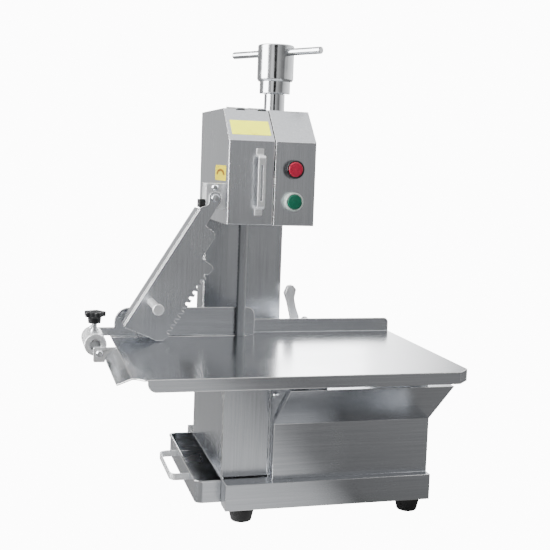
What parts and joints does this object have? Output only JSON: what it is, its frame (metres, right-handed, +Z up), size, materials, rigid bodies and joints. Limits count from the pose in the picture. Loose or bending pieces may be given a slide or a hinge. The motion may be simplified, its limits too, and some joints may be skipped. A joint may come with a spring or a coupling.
{
  "type": "bone_saw",
  "caption": "Table-top meat and bone band saw with a stainless cabinet, swinging meat pusher, thickness gauge and pull-out waste tray.",
  "frame": {"origin": "on the floor, under the middle of the overall box", "axes": "+X to the right seen from the operator's side, +Y to the back, +Z up"},
  "size_m": [0.5724, 0.55, 0.777],
  "materials": {
    "brushed_stainless": "brushed stainless sheet",
    "polished_steel": "polished bar and fittings",
    "cast_aluminium": "cast, machined faces",
    "spring_steel": "ground steel band and shaft",
    "black_rubber": "moulded rubber",
    "black_plastic": "moulded plastic",
    "pale_plastic": "moulded plastic",
    "red_plastic": "moulded button cap",
    "green_plastic": "moulded button cap",
    "cream_film": "printed film",
    "yellow_film": "printed film"
  },
  "bodies": {
    "frame": {"base_plinth": "brushed_stainless", "rubber_feet": "black_rubber", "foot_bolts": "polished_steel", "wheel_housing": "brushed_stainless", "lower_door_pins": "polished_steel", "motor_cabinet": "brushed_stainless", "column": "brushed_stainless", "column_cover": "brushed_stainless", "head_frame": "cast_aluminium", "head_side_wall": "brushed_stainless", "head_door_hinge": "polished_steel", "control_cover": "brushed_stainless", "stop_bezel": "black_plastic", "start_bezel": "pale_plastic", "contact_blocks": "black_plastic", "guide_rods": "polished_steel", "screw_sleeve": "polished_steel", "blade_guides": "black_plastic", "wheel_scraper": "brushed_stainless", "motor_casing": "cast_aluminium", "motor_end_bell": "cast_aluminium", "cable_gland": "black_plastic", "table_plate": "brushed_stainless", "table_back_stop": "brushed_stainless", "table_bracket": "brushed_stainless", "table_rails": "brushed_stainless", "dome_screws": "polished_steel", "clamp_post": "polished_steel", "tab_bolt": "polished_steel", "gauge_sleeve": "cast_aluminium", "gauge_bracket": "brushed_stainless", "pusher_bumper": "black_rubber", "pusher_bracket": "brushed_stainless", "pivot_bolt": "polished_steel", "rotation_sticker": "yellow_film", "saw_blade": "spring_steel"},
    "lower_wheel_set": {"lower_wheel": "cast_aluminium", "motor_shaft": "spring_steel"},
    "carriage": {"tension_carriage": "cast_aluminium", "upper_axle": "polished_steel"},
    "upper_wheel_set": {"upper_wheel": "cast_aluminium", "upper_bearings": "polished_steel"},
    "tension_handle": {"tension_screw": "polished_steel", "handle_hub": "polished_steel", "handle_bar": "polished_steel"},
    "head_door_body": {"head_door": "brushed_stainless", "head_door_handle": "polished_steel", "blank_label": "cream_film"},
    "lower_door_body": {"lower_door": "brushed_stainless"},
    "pusher": {"pusher_plate": "brushed_stainless", "pusher_handle": "polished_steel"},
    "gauge": {"gauge_plate": "brushed_stainless", "gauge_rod": "polished_steel"},
    "knob": {"clamp_knob": "black_plastic", "knob_stud": "polished_steel"},
    "stop_push": {"stop_button": "red_plastic"},
    "start_push": {"start_button": "green_plastic"},
    "tray": {"waste_tray": "brushed_stainless", "tray_handle": "polished_steel"},
    "table_clamp": {"clamp_lever": "polished_steel"}
  },
  "joints": [
    {"name": "lower_wheel_spin", "type": "hinge", "parent": "frame", "child": "lower_wheel_set", "pos_m": [-0.00575, 0.113, 0.158], "axis": [1, 0, 0], "continuous": true},
    {"name": "tension_slide", "type": "slide", "parent": "frame", "child": "carriage", "axis": [0, 0, 1], "range_m": [-0.004, 0]},
    {"name": "upper_wheel_spin", "type": "hinge", "parent": "carriage", "child": "upper_wheel_set", "pos_m": [-0.01975, 0.113, 0.562], "axis": [1, 0, 0], "continuous": true},
    {"name": "tension_turn", "type": "hinge", "parent": "frame", "child": "tension_handle", "pos_m": [0.04325, 0.113, 0.72], "axis": [0, 0, 1], "range_deg": [-480, 0]},
    {"name": "head_door_lift", "type": "hinge", "parent": "frame", "child": "head_door_body", "pos_m": [-0.02775, 0.0312, 0.6616], "axis": [-1, 0, 0], "range_deg": [0, 95]},
    {"name": "lower_door_swing", "type": "hinge", "parent": "frame", "child": "lower_door_body", "pos_m": [-0.06055, -0.0376, 0.15], "axis": [0, 0, -1], "range_deg": [0, 100]},
    {"name": "pusher_swing", "type": "hinge", "parent": "frame", "child": "pusher", "pos_m": [-0.08275, -0.015, 0.516], "axis": [0, 1, 0], "range_deg": [0, 95]},
    {"name": "gauge_slide", "type": "slide", "parent": "frame", "child": "gauge", "axis": [0, 1, 0], "range_m": [0, 0.045]},
    {"name": "knob_turn", "type": "hinge", "parent": "frame", "child": "knob", "pos_m": [-0.27025, -0.035, 0.33], "axis": [0, 0, 1], "range_deg": [0, 270]},
    {"name": "stop_press", "type": "slide", "parent": "frame", "child": "stop_push", "axis": [0, 1, 0], "range_m": [0, 0.004], "stiffness_N_per_m": 500},
    {"name": "start_press", "type": "slide", "parent": "frame", "child": "start_push", "axis": [0, 1, 0], "range_m": [0, 0.004], "stiffness_N_per_m": 500},
    {"name": "tray_slide", "type": "slide", "parent": "frame", "child": "tray", "axis": [-1, 0, 0], "range_m": [-0.036, 0.18]},
    {"name": "clamp_swing", "type": "hinge", "parent": "frame", "child": "table_clamp", "pos_m": [0.10225, 0.14, 0.288], "axis": [0, 1, 0], "range_deg": [-40, 10]}
  ],
  "couplings": [
    {"joint": "upper_wheel_spin", "follows": "lower_wheel_spin", "ratio": 1},
    {"joint": "tension_slide", "follows": "tension_turn", "m_per_rad": 0.00047746}
  ]
}
